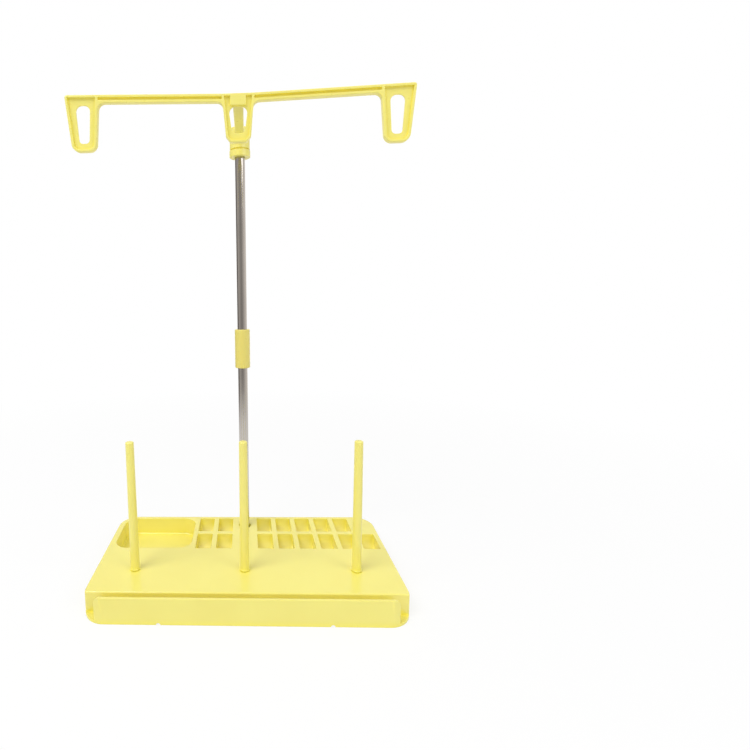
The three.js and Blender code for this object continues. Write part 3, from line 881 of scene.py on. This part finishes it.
@dataclass
class SpoolPin:
    """A tapered pin with a flange at its foot and a tail that plugs into the base."""

    node: str
    tail_length: float = 8
    tail_radius: float = 2.5
    tail_bevel: float = 0.5
    flange_radius: float = 3.5
    flange_height: float = 1
    flange_edge: float = 0.15
    foot_radius: float = 3.2
    top_radius: float = 2.9
    tip_edge: float = 0.9
    fillet: float = 0.15

    def build(self) -> bpy.types.Object:
        """Build the pin.

        Returns:
            The piece.
        """
        low, high = node_box(self.node)
        foot = low.z + self.tail_length
        top = foot + self.flange_height
        tail, flange, edge = self.tail_radius, self.flange_radius, self.flange_edge
        profile = [(0, low.z), (tail - self.tail_bevel, low.z), (tail, low.z + self.tail_bevel),
                   (tail, foot), (flange - edge, foot), (flange, foot + edge)]
        profile += [(flange - i, top - drop) for i, drop in edge_from_wall(edge)]
        profile += [(self.foot_radius + i, top + rise) for i, rise in edge_profile(self.fillet)[1:]]
        profile += [(self.top_radius - i, high.z - drop) for i, drop in edge_from_wall(self.tip_edge, 6)]
        shell = Shell().turned([*profile, (0, high.z)], (low + high) / 2, 64)
        return shell.to_object(f"{self.node}_moulding")


@dataclass
class Tube:
    """A steel tube with faintly broken ends."""

    node: str
    radius: float = 3.8
    wall: float = 0.6
    edge: float = 0.15

    def build(self) -> bpy.types.Object:
        """Build the tube.

        Returns:
            The piece.
        """
        low, high = node_box(self.node)
        inner, outer, edge = self.radius - self.wall, self.radius, self.edge
        profile = [(inner + edge, low.z), (outer - edge, low.z), (outer, low.z + edge),
                   (outer, high.z - edge), (outer - edge, high.z), (inner + edge, high.z),
                   (inner, high.z - edge), (inner, low.z + edge), (inner + edge, low.z)]
        return Shell().turned(profile, (low + high) / 2).to_object(f"{self.node}_steel")


@dataclass
class CouplingSleeve:
    """The sleeve over the joint of the two tubes, with a stop ring between their ends."""

    node: str = "coupling_sleeve"
    radius: float = 6
    bore: float = 4.1
    bore_bevel: float = 0.3
    edge: float = 0.6
    stop_thickness: float = 1.2
    stop_bore: float = 2.8

    def build(self) -> bpy.types.Object:
        """Build the sleeve.

        Returns:
            The piece.
        """
        low, high = node_box(self.node)
        middle, half_stop = (low.z + high.z) / 2, self.stop_thickness / 2
        bore, stop, size = self.bore, self.stop_bore, self.bore_bevel
        profile = [(bore, low.z + size), (bore + size, low.z)]
        profile += [(self.radius - i, low.z + rise) for i, rise in edge_profile(self.edge)]
        profile += [(self.radius - i, high.z - drop) for i, drop in edge_from_wall(self.edge)]
        profile += [(bore + size, high.z), (bore, high.z - size), (bore, middle + half_stop),
                    (stop, middle + half_stop), (stop, middle - half_stop), (bore, middle - half_stop),
                    profile[0]]
        return Shell().turned(profile, (low + high) / 2, 64).to_object("coupling_sleeve_moulding")


@dataclass
class MastHead:
    """The cup over the top of the mast and the ribbed beam that reaches forward from it."""

    cup_radius: float = 7.6
    cup_length: float = 21
    socket_radius: float = 4.1
    socket_depth: float = 10.3
    cup_edge: float = 0.8
    bead_radius: float = 7.9
    bead_height: float = 4.8
    bead_edge: float = 0.4
    bead_bevel: float = 0.2
    groove_depth: float = 0.8
    groove_height: float = 0.9
    groove_bevel: float = 0.15
    beam_front: float = -74.7
    beam_drop: float = 4.3  # of its level front end below the top of the cup
    beam_width: float = 6.4
    beam_height: float = 6.2
    beam_flange: float = 1.6
    beam_web: float = 2.4
    beam_end_radius: float = 0.5
    beam_bend_radius: float = 20
    panel_fillet: float = 0.4
    panel_radius: float = 0.8
    panel_overlap: float = 1  # how far the beam's panel goes into the cup
    solid_end: float = 9.5
    peg_socket: Point = (3.4, 3.2, 8)  # width, height, depth
    peg_socket_radius: float = 0.3

    def build(self) -> bpy.types.Object:
        """Build the mast head.

        Returns:
            The piece.
        """
        bead, bead_top, cup, top = self.bead_radius, self.bead_height, self.cup_radius, self.cup_length
        neck, groove_top = cup - self.groove_depth, bead_top + self.groove_height
        core = [(0, 0), *((bead - i, rise) for i, rise in edge_profile(self.bead_edge)),
                (bead, bead_top - self.bead_bevel), (bead - self.bead_bevel, bead_top), (neck, bead_top),
                (neck, groove_top), (cup - self.groove_bevel, groove_top),
                (cup, groove_top + self.groove_bevel)]
        core += [(cup - i, top - drop) for i, drop in edge_from_wall(self.cup_edge)]
        radius, depth = self.socket_radius, self.socket_depth
        shell = self._beam()
        shell.combine(Shell().turned([*core, (0, top)]), Joining.ADD)
        shell.combine(Shell().turned([(0, -1), (radius, -1), (radius, depth), (0, depth)]), Joining.CUT)
        low, high = node_box("lower_tube")
        place = (low + high) / 2
        place.z = node_box("mast_head")[0].z
        return shell.to_object("mast_head_moulding", place)

    def _beam(self) -> Shell:
        """Build the beam with the socket for the guide bar's peg in its front end.

        Returns:
            Its closed mesh, with the cup's mouth at height 0.
        """
        front, level = self.beam_front, self.beam_front + self.solid_end
        back_top, front_top = self.cup_length, self.cup_length - self.beam_drop
        back_low, front_low = back_top - self.beam_height, front_top - self.beam_height
        end, bend = self.beam_end_radius, self.beam_bend_radius
        outline = [(front, front_low, end), (level, front_low, bend), (0, back_low, end),
                   (0, back_top, end), (level, front_top, bend), (front, front_top, end)]
        near = self.panel_overlap - self.cup_radius
        near_drop = self.beam_drop * near / level
        flange, corner = self.beam_flange, self.panel_radius
        panel = [(level, front_low + flange, corner), (near, back_low - near_drop + flange, corner),
                 (near, back_top - near_drop - flange, corner), (level, front_top - flange, corner)]
        beam = RibbedPlate(outline, self.beam_width, self.beam_web, Facing.SIDE, [Panel(panel)],
                           floor_fillet=self.panel_fillet).build()
        width, height, depth = self.peg_socket
        middle, radius = front_low + self.beam_height / 2, self.peg_socket_radius
        view = rectangle(-width / 2, middle - height / 2, width / 2, middle + height / 2, radius)
        peg = RibbedPlate(view, 2 * depth, 0, Facing.FRONT, edge=radius).build()
        beam.combine(peg.move(Vector((0, front, 0))), Joining.CUT)
        return beam


@dataclass
class GuideBar:
    """The ribbed bar over the pins, with a thread loop at each end and one in the middle."""

    length: float = 210.9
    thickness: float = 4
    web: float = 1.2
    end_rise: float = 2.5
    bar_height: float = 4.6
    rim: float = 1.5
    bar_fillet: float = 4
    panel_radius: float = 0.5
    bar_panel_starts: Pair = (-0.3, 0.2)  # at its bottom and top, from the edge of the middle loop
    end_width: float = 20.5
    end_height: float = 33.1
    end_slants: Pair = (3.3, 2.4)  # of the outer and the inner edge, from top to bottom
    end_hole: Point = (5.2, 9.2, 6.3)  # band beside it, top width, bottom width
    end_hole_slant: float = 1.5  # of its inner edge
    end_bands: Pair = (5.6, 5)  # above and below the hole
    end_radius: float = 5
    end_top_radius: float = 1.5
    middle_half: float = 9.75
    middle_height: float = 27.8
    middle_low: float = 7.6
    middle_tip: Pair = (4.9, 3.2)  # half width, height
    middle_radius: float = 2
    middle_hole: Pair = (5.9, 3.85)  # half widths at its top and bottom
    middle_bands: Pair = (7.2, 5.5)
    middle_rim: float = 1.3
    pad: Point = (4.8, 6.6, 0.3)  # half width, depth and corners of the full-thickness part over the hole
    hole_radii: Pair = (3.6, 2.4)  # at the top and the bottom
    bend_radius: float = 20  # where the top edge begins to rise
    peg: Point = (2.8, 2.6, 8)
    peg_top: float = -1.8
    peg_radius: float = 0.3

    def build(self) -> bpy.types.Object:
        """Build the guide bar.

        Returns:
            The piece.
        """
        low, high = node_box("guide_bar")
        origin = Vector(((low.x + high.x) / 2, low.y + self.thickness / 2, high.z - self.end_rise))
        end, bar = self._end_panel(), self._bar_panel()
        panels = [end, bar, self._middle_panel(), Panel(mirrored(bar.edge)),
                  Panel(mirrored(end.edge), mirrored(end.hole))]
        width, height, length = self.peg
        peg = rectangle(-width / 2, self.peg_top - height, width / 2, self.peg_top, self.peg_radius)
        plate = RibbedPlate(self._outline(), self.thickness, self.web, Facing.FRONT, panels, peg, length)
        return plate.build().to_object("guide_bar_moulding", origin)

    def _top(self, x: float) -> float:
        """Return the height of the top edge, which is level over the middle loop and then rises."""
        return self.end_rise * max(abs(x) - self.middle_half, 0) / (self.length / 2 - self.middle_half)

    def _outline(self) -> list[Corner]:
        """Return the outline of the bar and its loops.

        Returns:
            Its corners in counter-clockwise order.
        """
        middle, loop = self._middle_loop(), self._end_loop()
        share = self.bar_height / -middle[1][1]
        meeting = self.middle_half - (self.middle_half - self.middle_low) * share
        inner = loop[-1][0]
        right = [*middle[:2], (meeting, -self.bar_height, self.bar_fillet),
                 (inner, self._top(inner) - self.bar_height, self.bar_fillet), *loop[:3],
                 (self.middle_half, 0, self.bend_radius)]
        return right + mirrored(right)

    def _middle_loop(self) -> list[Corner]:
        """Return the right half of the outline of the middle loop, closed off at its top."""
        shoulder = self.middle_tip[1] - self.middle_height
        return [(self.middle_tip[0], -self.middle_height, self.middle_radius),
                (self.middle_low, shoulder, self.middle_radius), (self.middle_half, 0, self.panel_radius)]

    def _end_loop(self) -> list[Corner]:
        """Return the outline of the right end loop, closed off from the bar at its inner edge.

        Returns:
            Its corners, from the lower left one on.
        """
        outer, low = self.length / 2, self.end_rise - self.end_height
        inner = outer - self.end_width
        return [(inner + self.end_slants[1], low, self.end_radius),
                (outer - self.end_slants[0], low, self.end_radius),
                (outer, self.end_rise, self.end_top_radius), (inner, self._top(inner), self.end_top_radius)]

    def _hole(self, low: Point, high: Point) -> list[Corner]:
        """Return a tapered hole's outline from the left, the right and the height of its foot and its top."""
        (low_left, low_right, foot), (left, right, top), (upper, lower) = low, high, self.hole_radii
        return [(low_left, foot, lower), (low_right, foot, lower), (right, top, upper), (left, top, upper)]

    def _end_panel(self) -> Panel:
        """Return the sunk panel of the right end loop.

        Returns:
            The panel, with the hole through it.
        """
        loop = self._end_loop()
        band, top_width, low_width = self.end_hole
        left = loop[-1][0] + band
        low_left = left + self.end_hole_slant
        top, foot = self._top(left) - self.end_bands[0], loop[0][1] + self.end_bands[1]
        return Panel(inset(loop, self.rim), self._hole((low_left, low_left + low_width, foot),
                                                       (left, left + top_width, top)))

    def _bar_panel(self) -> Panel:
        """Return the long sunk panel of the right half of the bar.

        Returns:
            The panel.
        """
        inner = self._end_loop()[-1][0]
        low_near, near = (self.middle_half + step for step in self.bar_panel_starts)
        top, floor, radius = self._top(inner), self.bar_height - self.rim, self.panel_radius
        return Panel([(low_near, -floor, radius), (inner, top - floor, radius),
                      (inner, top - self.rim, radius), (near, -self.rim, radius)])

    def _middle_panel(self) -> Panel:
        """Return the sunk panel of the middle loop, which comes up on both sides of the pad.

        Returns:
            The panel, with the hole through it.
        """
        right = self._middle_loop()
        left = mirrored(right)
        loop = inset([left[-1], *right, *left[:-1]], self.middle_rim)
        across, pad_low, corner = self.pad
        notch = [(across, loop[3][1], corner), (across, -pad_low, corner)]
        wide, narrow = self.middle_hole
        foot = self.middle_bands[1] - self.middle_height
        hole = self._hole((-narrow, narrow, foot), (-wide, wide, -self.middle_bands[0]))
        return Panel([*loop[:4], *notch, *mirrored(notch), *loop[4:]], hole)


@dataclass
class Studio:
    """White floor and surround with a large key lamp high on the left and a weak fill on the right.

    Gloss sees a room: white behind the stand and above it, and duller on the other sides.
    """

    surround: float = 0.57  # strength of the world as a light
    floor_half: float = 4  # metres
    floor_sight: float = 0.97
    floor_light: float = 0.8
    shadow_share: float = 0.2  # how much of the lit floor the camera sees under its white
    shadow_fade: Pair = (0.2, 0.7)  # metres from the middle
    table: Pair = (0.36, 0.6)  # metres over which the mirrored floor turns into the room
    room_rise: Pair = (0.3, 0.75)  # height of a direction over which the room turns white
    warmth: Point = (1, 0.96, 0.92)  # of the room
    aim: Point = (0, 0, 0.1)  # of the lamps, metres
    room: tuple[Pair, ...] = (  # turns clockwise from the front, and the brightness there
        (0.0, 0.3), (0.12, 0.42), (0.2, 0.55), (0.25, 0.5), (0.29, 0.15), (0.38, 0.13), (0.43, 0.95),
        (0.5, 1.0), (0.62, 1.0), (0.78, 0.8), (0.9, 0.5), (1.0, 0.3))

    def build(self) -> None:
        """Make the floor, the surround and the lamps."""
        self._floor()
        self._world()
        self._lamp("key", Vector((-0.9, -0.8, 1.7)), 1.0, 19)
        self._lamp("fill", Vector((1.1, -0.9, 1.0)), 0.8, 5)

    def _room(self, sheet: NodeSheet, direction: Socket) -> Socket:
        """Add the room's brightness round the stand.

        Args:
            sheet: The node tree.
            direction: The socket of a vector that points into the room, at any height.

        Returns:
            The socket of the room's colour there.
        """
        axes = sheet.add("SeparateXYZ", {0: direction}).outputs
        turn = sheet.add("Math", {0: axes["X"], 1: axes["Y"]}, operation="ARCTAN2").outputs[0]
        ramp = sheet.add("ValToRGB", {0: sheet.mapped(turn, (-math.pi, math.pi), 0, 1)})
        stops = ramp.color_ramp.elements
        for position, _ in self.room[1:-1]:
            stops.new(position)
        for stop, (position, tone) in zip(stops, self.room):
            stop.position = position
            stop.color = (*(tone * share for share in self.warmth), 1)
        return ramp.outputs["Color"]

    def _floor(self) -> None:
        """Make a floor that is white to the camera and still takes the object's shadow."""
        nodes = NodeSheet(bpy.data.materials.new("floor_white"))
        place = nodes.add("TexCoord").outputs["Object"]
        distance = nodes.add("VectorMath", {0: place}, operation="LENGTH").outputs["Value"]
        shaded, light = (nodes.add("BsdfDiffuse", {"Color": (grey, grey, grey, 1)})
                         for grey in (self.floor_sight, self.floor_light))
        white = nodes.add("Emission", {"Color": (1, 1, 1, 1), "Strength": 1.0})
        sight = nodes.blended(nodes.mapped(distance, self.shadow_fade, self.shadow_share, 0), white, shaded)
        room = nodes.add("Emission", {"Color": self._room(nodes, place)})
        gloss = nodes.blended(nodes.mapped(distance, self.table, 0, 1), sight, room)
        shell, half = Shell(), self.floor_half
        corners = [(x * half, y * half, 0) for x, y in ((-1, -1), (1, -1), (1, 1), (-1, 1))]
        shell.mesh.faces.new(shell.ring(corners))
        sheet = shell.placed("floor")
        sheet.data.materials.append(nodes.finish(nodes.by_ray(light, sight, gloss)))

    def _world(self) -> None:
        """Surround the stand with white, dimmer as a light than as a sight, and with the room in gloss."""
        sheet = NodeSheet(bpy.data.worlds.new("surround"))
        direction = sheet.add("TexCoord").outputs["Generated"]
        height = sheet.add("SeparateXYZ", {0: direction}).outputs["Z"]
        white, light = (sheet.add("Background", {"Color": (1, 1, 1, 1), "Strength": strength})
                        for strength in (1.0, self.surround))
        room = sheet.add("Background", {"Color": self._room(sheet, direction), "Strength": 1.0})
        gloss = sheet.blended(sheet.mapped(height, self.room_rise, 0, 1), room, white)
        bpy.context.scene.world = sheet.finish(sheet.by_ray(light, white, gloss))

    def _lamp(self, name: str, place: Vector, size: float, power: float) -> None:
        """Add a square area lamp that faces the middle of the stand.

        Args:
            name: Its name.
            place: Its place in metres.
            size: Its side in metres.
            power: Its power in watts.
        """
        data = bpy.data.lights.new(name, "AREA")
        data.size, data.energy = size, power
        lamp = in_scene(name, data)
        lamp.location = place
        lamp.rotation_euler = (Vector(self.aim) - place).to_track_quat("-Z", "Y").to_euler()


@dataclass
class PhotoCamera:
    """The camera of the photograph."""

    location: Point = (3.1, -343.1, 212.9)  # millimetres
    down: float = 7.805  # degrees
    turn: float = -2.572
    roll: float = -1.074
    lens: float = 23.24
    sensor: float = 36
    shift: Pair = (0.2001, -0.0238)
    nearest: float = 0.01  # metres

    def build(self) -> None:
        """Make the camera and look through it."""
        down, turn, roll = (math.radians(angle) for angle in (self.down, self.turn, self.roll))
        ahead = Vector((math.sin(turn) * math.cos(down), math.cos(turn) * math.cos(down), -math.sin(down)))
        level = Vector((math.cos(turn), -math.sin(turn), 0))
        upward = level.cross(ahead)
        right = math.cos(roll) * level + math.sin(roll) * upward
        up = math.cos(roll) * upward - math.sin(roll) * level
        data = bpy.data.cameras.new("photo_camera")
        data.lens, data.sensor_width, data.clip_start = self.lens, self.sensor, self.nearest
        data.shift_x, data.shift_y = self.shift
        camera = in_scene("photo_camera", data)
        axes = Matrix((right, up, -ahead)).transposed().to_4x4()
        camera.matrix_world = Matrix.Translation(Vector(self.location) * MM) @ axes
        bpy.context.scene.camera = camera


YELLOW = (0.94, 0.85, 0.21)
DEEPER_YELLOW = (0.85, 0.735, 0.175)
# painted shade: the golden colours that the plastics paint into their nooks and recesses
GOLDEN_NOOK_SHADE = (0.96, 0.86, 0.1)
DEEPER_GOLDEN_NOOK_SHADE = (0.95, 0.83, 0.08)


@dataclass
class ThreadStand:
    """The whole stand: its pieces, their finishes and what each one rides on."""

    finishes: tuple[MouldedPlastic | DrawnSteel, ...] = (
        MouldedPlastic("tray_plastic", YELLOW, GOLDEN_NOOK_SHADE, 0.22),
        MouldedPlastic("pin_plastic", YELLOW, GOLDEN_NOOK_SHADE, 0.32),
        MouldedPlastic("sleeve_plastic", DEEPER_YELLOW, GOLDEN_NOOK_SHADE, 0.3),
        MouldedPlastic("guide_plastic", YELLOW, DEEPER_GOLDEN_NOOK_SHADE, 0.3),
        DrawnSteel("tube_steel", (0.60, 0.56, 0.52)),
    )

    def build(self) -> None:
        """Make every piece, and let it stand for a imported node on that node's body."""
        materials = {finish.name: finish.material() for finish in self.finishes}
        for part, node, slot in (
                (BaseTray(), "base_tray", "tray_plastic"),
                *((SpoolPin(pin), pin, "pin_plastic") for pin in PINS),
                *((Tube(tube), tube, "tube_steel") for tube in ("lower_tube", "upper_tube")),
                (CouplingSleeve(), "coupling_sleeve", "sleeve_plastic"),
                (MastHead(), "mast_head", "guide_plastic"),
                (GuideBar(), "guide_bar", "guide_plastic")):
            piece = part.build()
            piece.data.materials.append(materials[slot])
            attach(piece, node)
            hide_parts(node)
            log.info("%s stands for %s", piece.name, node)


def main() -> None:
    """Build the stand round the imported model, with its studio and camera."""
    logging.basicConfig(level=logging.INFO, format="%(name)s: %(message)s")
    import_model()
    bpy.context.scene.view_settings.view_transform = "Standard"
    PhotoCamera().build()
    Studio().build()
    ThreadStand().build()


if __name__ == "__main__":
    main()
